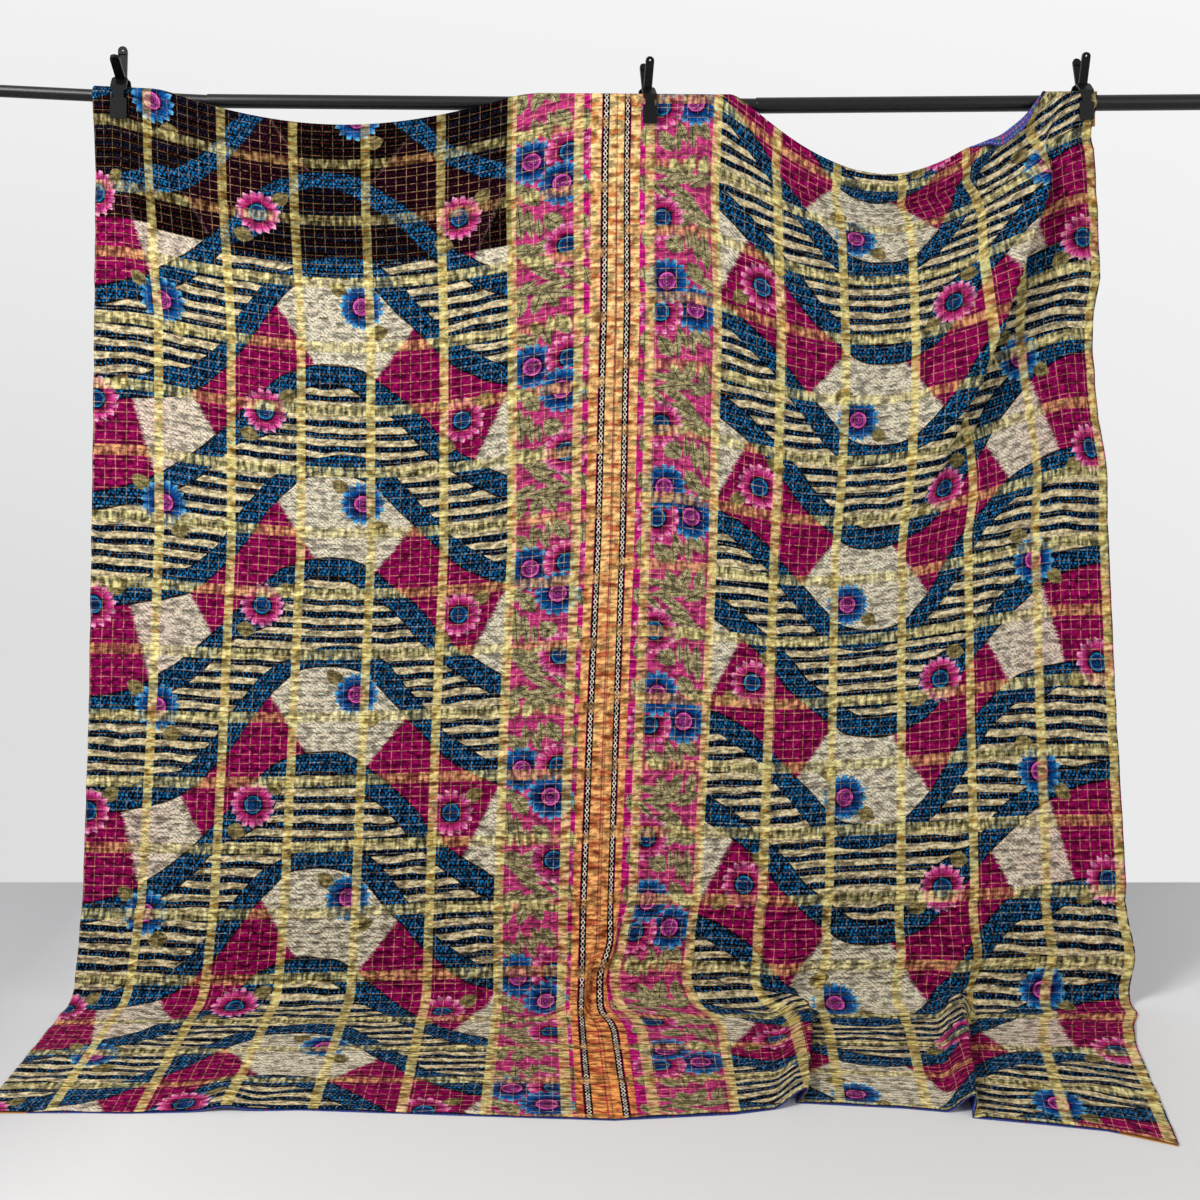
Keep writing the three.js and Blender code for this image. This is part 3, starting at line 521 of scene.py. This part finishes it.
def nearest_flower(a, b, flowers, reach):
    """The offset from whichever flower is within reach, with its kind: one vector (across, down, kind)."""
    tree = a.tree
    here = vector_of(a, b)
    found = None
    for across, down, kind in flowers:
        offset = tree.nodes.new("ShaderNodeVectorMath")
        offset.operation = "SUBTRACT"
        tree.links.new(here, offset.inputs[0])
        offset.inputs[1].default_value = (across, down, -kind)
        wrapped = tree.nodes.new("ShaderNodeVectorMath")
        wrapped.operation = "WRAP"
        tree.links.new(offset.outputs[0], wrapped.inputs[0])
        wrapped.inputs[1].default_value = (9000, PRINT_REPEAT / 2, 9000)
        wrapped.inputs[2].default_value = (-9000, -PRINT_REPEAT / 2, -9000)
        if found is None:
            found = wrapped.outputs[0]
            continue
        length = tree.nodes.new("ShaderNodeVectorMath")
        length.operation = "LENGTH"
        tree.links.new(wrapped.outputs[0], length.inputs[0])
        inside = Field(tree, length.outputs["Value"]).math("LESS_THAN", reach)
        pick = tree.nodes.new("ShaderNodeMix")
        pick.data_type = "VECTOR"
        tree.links.new(inside.socket, pick.inputs[0])
        tree.links.new(found, pick.inputs[4])
        tree.links.new(wrapped.outputs[0], pick.inputs[5])
        found = pick.outputs[1]
    split = tree.nodes.new("ShaderNodeSeparateXYZ")
    tree.links.new(found, split.inputs[0])
    return [Field(tree, output) for output in split.outputs]


def leaf(x, y, across, down, turn, half_length, half_width):
    """A pointed leaf: within half_width (1 - (p / half_length)^2) of its rib, p being the place along it.
    Returns its mask and its veins."""
    cosine, sine = math.cos(math.radians(turn)), math.sin(math.radians(turn))
    dx, dy = x - across, y - down
    along = dx.math("MULTIPLY_ADD", cosine, dy * sine)
    off = abs(dx.math("MULTIPLY_ADD", -sine, dy * cosine))
    share = along * (1 / half_length)
    mask = (share * share).math("MULTIPLY_ADD", half_width, off).below(half_width, 1.6)
    veins = off.below(0.9, 1.0).either((along + off * -0.8).repeat(6.5).near(3.2, 1.3, 1.4) * 0.7)
    return mask, veins


def flower_colours(x, y, kind, under):
    """A round flower with ruffled, pale-tipped petals and a ringed middle, laid on the colour under."""
    pink = kind.above(0.0, 0.5)
    r = (x * x + y * y).math("SQRT")
    angle = y.math("ARCTAN2", x)
    ruffle = (angle * 15.0 + r * 0.04).math("COSINE")
    small = (angle * 34.0).math("COSINE")
    edge = r - ruffle * 3.6 - small * 1.4
    petal = lay_colour(pink, paint(0, 110, 172), paint(212, 84, 156))
    deep = lay_colour(pink, paint(0, 58, 116), paint(140, 8, 80))
    tip = lay_colour(pink, paint(130, 204, 232), paint(248, 204, 224))
    colour = lay_colour(r.above(31.0, 16.0), deep, petal)
    colour = lay_colour(edge.above(42.0, 13.0) * ruffle.above(0.0, 1.6), colour, tip)
    colour = lay_colour(ruffle.below(-0.86, 0.25) * r.above(27.0, 8.0) * 0.6, colour, deep)
    middle = lay_colour(pink, paint(166, 74, 150), paint(20, 84, 136))
    rim = lay_colour(pink, paint(226, 120, 196), paint(44, 150, 186))
    shade = lay_colour(pink, paint(52, 14, 60), paint(10, 28, 62))
    colour = lay_colour(r.below(23.0, 1.6), colour, shade)
    colour = lay_colour(r.below(19.5, 1.4), colour, middle)
    colour = lay_colour(r.near(17.6, 2.4, 1.2), colour, rim)
    colour = lay_colour(r.near(11.0, 1.8, 1.4).either(r.near(5.0, 1.6, 1.6)), colour, shade)
    return lay_colour(edge.below(47.5, 1.6), under, colour)


def field_print(a, b, gloom=None):
    """The field's colours at (across, down) of the print. Where gloom is 1 its ground has turned black.
    Returns the colour, its grain, and the shares of magenta and of dotted ground."""
    grain = mottle(a * 0.11, b * 0.11, 3.0)
    wave = mottle(a * 0.018, b * 0.018, 8.0, 0.0) * 14.0 - 7.0
    down = b + wave * 0.5
    top = charted(a, BAND_ONE_TOP)
    local = top + (down - top).repeat(PRINT_REPEAT)
    one_foot = charted(a, BAND_ONE_FOOT)
    in_one = local.below(one_foot, 1.6)
    two_top, two_foot = charted(a, BAND_TWO_TOP), charted(a, BAND_TWO_FOOT)
    below_two = local.above(two_foot, 1.6)
    in_field = (1 - in_one) * local.below(two_top, 1.6)

    # The black ground crowded with uneven blue dots; pale stripes lie between the second band and the next first.
    row = (b + grain * 9.0) * (1 / DOT_ROW)
    dot_x = abs((a * (1 / DOT_STEP) + grain * 0.9 + row.math("FLOOR") * 0.37).repeat(1.0) - 0.5) * DOT_STEP
    dot_y = abs(row.repeat(1.0) - 0.5) * DOT_ROW
    dot = (dot_x * dot_x + dot_y * dot_y).math("SQRT").below(grain * 5.0 + 0.6 - below_two * 1.1, 1.2)
    blue = lay_colour(grain.above(0.5, 0.25), paint(0, 96, 140), paint(26, 134, 188))
    dots = lay_colour(dot, paint(2, 6, 16), blue)
    slope = a.above(-355.0, 270.0) * 17.0
    stripe = local + slope + wave * 0.42 - (1077 - STRIPE_PITCH / 2)
    stripe = stripe.repeat(STRIPE_PITCH).near(STRIPE_PITCH / 2, 14.4, 1.6)
    pale = lay_colour(grain.above(0.54, 0.26), paint(232, 221, 188), paint(170, 156, 118))
    striped = below_two * stripe
    colour = lay_colour(striped, dots, pale)
    edge = abs(local - two_top).math("MINIMUM", abs(local - two_foot)).math("MINIMUM", local - top)
    edge = edge.math("MINIMUM", abs(local - one_foot)).below(2.2, 1.2)

    # The field between the bands: cream with feathery strokes, and magenta with soft, brushed ends.
    brush = mottle(a * 0.05, b * 0.25, 1.0) * 26.0 - 13.0
    across = a + brush
    rose = (across.below(local * 0.68 + (-750 - 0.68 * 891), 8.0)
            * across.above(local * 0.6 + (-943 - 0.6 * 1122), 8.0))
    rose = rose.either(across.below(local * 0.3 + (-1075 - 0.3 * 1164), 8.0))
    rose = rose.either(across.above(local * -0.77 + (-447 + 0.77 * 945), 8.0)
                       * across.below(local * -0.5 + (-229 + 0.5 * 1104), 8.0))
    feather = (b + abs((a + brush * 0.9).repeat(34.0) - 17.0) * 0.9 + brush * 0.5).repeat(9.0).near(4.5, 1.6, 1.5)
    feather = feather * grain.above(0.4, 0.16) * 0.9
    blush = a.below(-960.0, 160.0) * 0.5
    cream = lay_colour(blush, lay_colour(feather, paint(226, 220, 200), paint(64, 60, 48)),
                lay_colour(feather, paint(226, 202, 194), paint(100, 50, 74)))
    magenta = lay_colour(grain.above(0.5, 0.5), paint(98, 6, 68), paint(186, 28, 118))
    field = lay_colour(rose, cream, magenta)
    colour = lay_colour(edge * 0.9, lay_colour(in_field, colour, field), paint(4, 6, 12))
    if gloom is not None:
        night = lay_colour(dot * below_two * (1 - stripe), paint(7, 6, 10), paint(14, 44, 80))
        colour = lay_colour(gloom * below_two.either(in_field * (1 - rose)), colour, night)
        colour = lay_colour(gloom * in_field * rose, colour, paint(36, 8, 30))

    # The field's own flowers, each with two leaves.
    x, y, kind = nearest_flower(a, b, FIELD_FLOWERS, 100.0)
    side = x * kind
    upper, upper_veins = leaf(side, y, 50.0, -38.0, -35.0, 24.0, 16.0)
    lower, lower_veins = leaf(side, y, -36.0, 57.0, 15.0, 23.0, 17.0)
    leaf_colour = lay_colour(grain.above(0.5, 0.6), paint(110, 102, 64), paint(182, 170, 124))
    leaf_colour = lay_colour((upper * upper_veins).either(lower * lower_veins) * 0.65, leaf_colour, paint(56, 48, 30))
    colour = flower_colours(x, y, kind, lay_colour(upper.either(lower), colour, leaf_colour))
    return colour, grain, in_field * rose, (1 - in_field) * (1 - striped)


def strip_print(a, b):
    """The floral strip's colours: crimson crowded with leaves, and flowers over them. Returns as field_print."""
    grain = mottle(a * 0.11, b * 0.11, 3.0)
    green = veins = a * 0.0
    for place in STRIP_LEAVES:
        repeated = (b - (place[1] - PRINT_REPEAT / 2)).repeat(PRINT_REPEAT) - PRINT_REPEAT / 2
        mask, ribs = leaf(a, repeated, place[0], 0.0, *place[2:])
        veins = veins + mask * (ribs - veins)
        green = green.either(mask)
    olive = lay_colour(grain.above(0.5, 0.4), paint(124, 120, 90), paint(214, 206, 164))
    olive = lay_colour(veins * 0.85, olive, paint(40, 32, 20))
    crimson = lay_colour(grain.above(0.5, 0.5), paint(160, 48, 108), paint(228, 98, 162))
    floral = lay_colour(green, lay_colour(a.above(-75.0, 4.0), crimson, paint(206, 40, 144)), olive)
    x, y, kind = nearest_flower(a, b, STRIP_FLOWERS, 50.0)
    return flower_colours(x, y, kind, floral), grain, 1 - green, a * 0.0


def golden_border(s, v, colour):
    """The border at the seam: gold with painted shade in the hollows of its gathers and a painted highlight on their
    crests, a beaded black line and a thin pink one on each side of a gold band.
    The beaded lines stand 22.5 mm from the middle at the hem and part slowly down the cloth."""
    aside = abs(s + (v * 0.0033 + 0.7))
    line = v * 0.004 + 22.5
    gathers = mottle(s * 0.026, v * 0.066, 6.0, 1.4)
    lower = v * 0.0004
    # Painted shade and painted highlight: the gold is darker and ruddier in the hollows of its gathers and paler on
    # their crests; it is also more orange further down the cloth.
    gold_shade_and_highlight = lay_colour(gathers.above(0.46, 0.2), lay_colour(lower, paint(214, 146, 92), paint(190, 98, 74)),
               lay_colour(lower, paint(255, 230, 172), paint(255, 186, 116)))
    colour = lay_colour(aside.below(BORDER_HALF, 1.5), colour, gold_shade_and_highlight)
    colour = lay_colour((aside - line).near(7.0, 3.4, 1.2), colour, paint(168, 20, 100))
    colour = lay_colour(aside.below(1.4, 1.0) * v.above(250.0, 100.0) * 0.7, colour, paint(190, 30, 100))
    chain = abs(aside - line)
    colour = lay_colour(chain.below(7.0, 1.2), colour, paint(4, 3, 6))
    along = abs((v * (1 / BEAD_PITCH)).repeat(1.0) - 0.5) * BEAD_PITCH
    bead = abs(chain * 1.5 - along).below(1.7, 0.8) * chain.below(4.4, 0.8)
    return lay_colour(bead, colour, paint(240, 234, 220)), aside, gathers


def weave(name, print_at, bands, first, pitch, to_print, bordered, gloomy):
    """A front width's material: its print, then the gold threads, the stitches and the satin bands over it, with
    painted shade and painted highlight on the satin's tucks and painted shade in the crinkle's hollows.
    """
    material, tree, shader = new_material(name)
    s, v = cloth_fields(tree)
    a, b = to_print(s, v)
    satin = SATIN
    if gloomy:
        gloom = v.below(s.above(-1022.0, 3.0) * 9.0 + s.above(-872.0, 3.0) * 8.0 + 318.0, 3.0)
        colour, grain, rosy, dotted = print_at(a, b, gloom)
        threads_show = rosy * 0.2 + gloom * -0.08 + 0.34
        satin = SATIN - gloom * 0.24
    else:
        colour, grain, rosy, dotted = print_at(a, b)
        threads_show = rosy * 0.2 + 0.34
    if bordered:
        colour, aside, gathers = golden_border(s, v, colour)

    # Gold threads and satin bands, woven as a check.
    distance = abs(s - bands[0])
    for band in bands[1:]:
        distance = distance.math("MINIMUM", abs(s - band))
    upright = distance.below(10.0, 1.4)
    phase = (v - first(s)).math("DIVIDE", pitch(s))
    off_row = abs((phase + 0.5).repeat(1.0) - 0.5) * BAND_PITCH
    level = off_row.below(12.0, 1.6)
    threads = abs((s - bands[0]).repeat(THREAD_ACROSS) - THREAD_ACROSS / 2).above(10.75, 0.7)
    threads = threads.either(abs(off_row.repeat(THREAD_DOWN) - THREAD_DOWN / 2).above(9.65, 0.7))
    threads = threads * grain.above(0.42, 0.2)
    if bordered:
        threads = threads * aside.above(BORDER_HALF, 2.0)
        level = level * (0.5 + aside.above(22.0, 2.0) * 0.5)
    colour = lay_colour(threads * threads_show, colour, paint(248, 214, 160))
    colour = lay_colour(running_stitches(s, v) * (0.6 - dotted * 0.3), colour, paint(176, 52, 66))
    # Painted shade and painted highlight on the satin's tucks: a dark copy of the satin colour in their hollows, a
    # pale one on their crests, where the satin also covers the print a little more.
    tuck_shading_level = mottle(s * 0.12, v * 0.03, 9.0, 1.0).above(0.5, 0.24)
    tuck_shading_upright = mottle(s * 0.03, v * 0.1, 4.0, 1.0).above(0.47, 0.24)
    warm = rosy * 0.6
    satin_level = lay_colour(tuck_shading_level, lay_colour(warm, paint(136, 122, 68), paint(150, 84, 50)),
                      lay_colour(warm, paint(255, 243, 180), paint(250, 178, 112)))
    colour = lay_colour(level * (tuck_shading_level * 0.18 + (satin + -0.16)), colour, satin_level)
    colour = lay_colour(upright * satin, colour, lay_colour(tuck_shading_upright, paint(196, 156, 74), paint(255, 244, 172)))

    crinkle = mottle(s * 0.04, v * 0.07, 2.0, 2.0)
    height = crinkle + abs((v * (1 / STITCH_ROW)).repeat(1.0) - 0.5) * -0.16
    if bordered:
        height = height + gathers * 0.5
    # Painted shade: in the crinkle's low places the colour goes up to half way to near black.
    colour = lay_colour(crinkle.below(0.45, 0.12) * 0.5, colour, paint(4, 2, 4))
    tree.links.new(deepen(tree, colour, 1.25), shader.inputs["Base Color"])
    tree.links.new((0.66 - upright.either(level) * 0.2).socket, shader.inputs["Roughness"])
    shader.inputs["Specular IOR Level"].default_value = 0.02
    relief(tree, height, 0.02, shader)
    return material


def dress(panel, field, strip, edge):
    """The field's material on the panel, and the strip's on the faces between the edge and the seam."""
    panel.data.materials.append(field)
    panel.data.materials.append(strip)
    uv = np.empty(len(panel.data.loops) * 2, np.float32)
    panel.data.uv_layers["cloth"].data.foreach_get("uv", uv)
    middle = np.abs(uv.reshape(-1, 4, 2)[:, :, 0].mean(1)) * 1000
    panel.data.polygons.foreach_set("material_index", (middle < edge).astype(np.int32))


for side, panel, edge, bands, first, pitch, to_print in (
        ("left", front_left, 217, [-1020, -855, -696, -537, -372, -217, -79], lambda s: s * (-11 / 1150) + 94.0,
         lambda s: s * (-2.5 / 1150) + 141.5, lambda s, v: (s, v)),
        ("right", front_right, 225, [225, 373, 523, 686, 850, 1015, 1182, 75], lambda s: s * 0.0 + 40.0,
         lambda s: s * 0.0 + 145.0, lambda s, v: (s * -1.0, 1105.0 - v + s.above(1010.0, 330.0) * 25.0))):
    near_seam = [band for band in bands if abs(band) < 240]
    dress(panel,
          weave(f"printed_sari_{side}", field_print, bands[:-1], first, pitch, to_print, False, side == "left"),
          weave(f"floral_border_{side}", strip_print, near_seam, first, pitch, to_print, True, False), edge)

# ---------------------------------------------------------------------------------------------------------
# The rod: three steel tubes that slide into each other, enamelled satin black, with a moulded plastic cap
# pushed into each end, where it meets the wall.

def coated(name, nodes, colour, roughness, metallic, grain, depth, specular=0.3):
    """A plain coloured finish: noise of the given grain adds up to 6 to its colour, 0.16 to its roughness less
    0.08, and bumps of the given depth."""
    material, tree, shader = new_material(name)
    where = tree.nodes.new("ShaderNodeTexCoord")
    noise = tree.nodes.new("ShaderNodeTexNoise")
    noise.inputs["Scale"].default_value = grain
    noise.inputs["Detail"].default_value = 3.0
    tree.links.new(where.outputs["Object"], noise.inputs["Vector"])
    speck = Field(tree, noise.outputs["Fac"])
    base = lay_colour(speck, paint(*colour), paint(*(min(255, c + 6) for c in colour)))
    tree.links.new(base, shader.inputs["Base Color"])
    tree.links.new((speck * 0.16 + (roughness - 0.08)).socket, shader.inputs["Roughness"])
    shader.inputs["Metallic"].default_value = metallic
    shader.inputs["Specular IOR Level"].default_value = specular
    relief(tree, speck, depth, shader)
    for node in nodes:
        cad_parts[node].data.materials.clear()
        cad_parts[node].data.materials.append(material)


coated("black_enamel", ["rod_section_left", "rod_section_middle", "rod_section_right"],
       (8, 8, 9), 0.36, 0.0, 260.0, 0.0001)
coated("cap_plastic", ["rod_cap_left", "rod_cap_right"], (8, 8, 9), 0.5, 0.0, 400.0, 0.0001)

# ---------------------------------------------------------------------------------------------------------
# The three spring clips: two moulded black plastic levers each, on a steel pin through a coil spring that keeps
# the jaws shut, with a rubber pad in each jaw. They grip the hem and the rod together.

CLIPS = ["left", "middle", "right"]
coated("clip_plastic", [f"clip_{name}_lever_{side}" for name in CLIPS for side in ("front", "back")],
       (5, 5, 6), 0.4, 0.0, 320.0, 0.0001, 0.16)
coated("pad_rubber", [f"clip_{name}_pad_{side}" for name in CLIPS for side in ("front", "back")],
       (14, 14, 15), 0.8, 0.0, 500.0, 0.0002)
coated("spring_steel", [f"clip_{name}_{part}" for name in CLIPS for part in ("pin", "spring")],
       (140, 142, 148), 0.3, 1.0, 500.0, 0.00005)

# ---------------------------------------------------------------------------------------------------------
# The floor and backdrop: a pale painted floor with a white wall behind it, lit softly by a window at the left,
# a weak lamp at the right and the room itself.

def plane(name, corners, material):
    """A rectangle from its four corners."""
    mesh = bpy.data.meshes.new(name)
    mesh.from_pydata(corners, [], [(0, 1, 2, 3)])
    mesh.materials.append(material)
    piece = bpy.data.objects.new(name, mesh)
    bpy.context.scene.collection.objects.link(piece)


def object_axes(tree):
    """X, Y and Z of the point in metres."""
    where = tree.nodes.new("ShaderNodeTexCoord")
    split = tree.nodes.new("ShaderNodeSeparateXYZ")
    tree.links.new(where.outputs["Object"], split.inputs[0])
    return [Field(tree, output) for output in split.outputs]


WALL_Y, STAGE, WALL_TOP = ROD_Y + 0.72, 9, 6
material, tree, shader = new_material("painted_floor")
across, deep, _ = object_axes(tree)
# Painted shade and painted light: the floor is darker at the left and paler at the right, towards the wall.
shade = across.below(-1.1, 0.5) * deep.above(-0.5, 0.5)
pale = across.above(1.3, 0.5) * deep.above(-0.3, 0.5)
tree.links.new(lay_colour(pale, lay_colour(shade, paint(222, 222, 222), paint(180, 180, 181)), paint(234, 234, 234)),
               shader.inputs["Base Color"])
shader.inputs["Roughness"].default_value = 0.6
plane("floor", [(-STAGE, -STAGE, 0), (STAGE, -STAGE, 0), (STAGE, STAGE, 0), (-STAGE, STAGE, 0)], material)
material, tree, shader = new_material("painted_wall")
shader.inputs["Base Color"].default_value = paint(240, 240, 240)
shader.inputs["Roughness"].default_value = 0.8
across, _, up = object_axes(tree)
# Painted light and shade: where it is looked at, the wall glows, darker low down and towards the left and brightest
# at the top.
lower = lay_colour(across.above(0.0, 3.6), paint(220, 220, 221), paint(235, 235, 236))
tone = lay_colour(up.above(2.0, 2.6), lower, paint(252, 252, 252))
seen = tree.nodes.new("ShaderNodeEmission")
tree.links.new(tone, seen.inputs["Color"])


def in_sight(tree):
    """1 where a surface or the sky is looked at, straight or in gloss or glass, and 0 where it only gives light."""
    path = tree.nodes.new("ShaderNodeLightPath")
    kinds = [Field(tree, path.outputs[f"Is {kind} Ray"]) for kind in ("Camera", "Glossy", "Transmission")]
    return kinds[0].either(kinds[1]).either(kinds[2])


def mixed(tree, share, first, second):
    """Two shaders mixed: first where the share is 0, second where it is 1."""
    node = tree.nodes.new("ShaderNodeMixShader")
    for socket, value in zip(node.inputs, (share, first, second)):
        tree.links.new(value, socket)
    return node.outputs[0]


# From behind, the wall is clear, so that the quilt's back can be seen.
behind = tree.nodes.new("ShaderNodeNewGeometry").outputs["Backfacing"]
clear = tree.nodes.new("ShaderNodeBsdfTransparent").outputs[0]
front_side = mixed(tree, in_sight(tree).socket, shader.outputs[0], seen.outputs[0])
tree.links.new(mixed(tree, behind, front_side, clear), tree.nodes["Material Output"].inputs["Surface"])
plane("wall", [(-STAGE, WALL_Y, 0), (STAGE, WALL_Y, 0), (STAGE, WALL_Y, WALL_TOP), (-STAGE, WALL_Y, WALL_TOP)],
      material)


def lamp(name, place, target, size, power):
    """A square lamp at a place, turned towards a target."""
    data = bpy.data.lights.new(name, "AREA")
    data.size, data.energy = size, power
    piece = bpy.data.objects.new(name, data)
    piece.location = place
    direction = np.array(target) - np.array(place)
    yaw = math.atan2(direction[1], direction[0]) - math.pi / 2
    pitch = math.atan2(direction[2], math.hypot(direction[0], direction[1]))
    piece.rotation_euler = (math.pi / 2 + pitch, 0, yaw)
    bpy.context.scene.collection.objects.link(piece)


lamp("window", (-2.5, ROD_Y - 2.7, 3.7), (0, ROD_Y - 0.2, 1.0), 1.5, 185)
lamp("fill", (3.2, ROD_Y - 2.6, 2.0), (1.6, ROD_Y, 0.0), 2.4, 40)
ROOM_LIGHT = 0.34
world = bpy.data.worlds.new("room")
world.use_nodes = True
room = world.node_tree
room.nodes["Background"].inputs["Color"].default_value = (1, 1, 1, 1)
room.nodes["Background"].inputs["Strength"].default_value = ROOM_LIGHT
sky = room.nodes.new("ShaderNodeBackground")
sky.inputs["Color"].default_value = paint(240, 240, 240)
everywhere = mixed(room, in_sight(room).socket, room.nodes["Background"].outputs[0], sky.outputs[0])
room.links.new(everywhere, room.nodes["World Output"].inputs["Surface"])
bpy.context.scene.world = world
bpy.context.scene.view_settings.view_transform = "Standard"
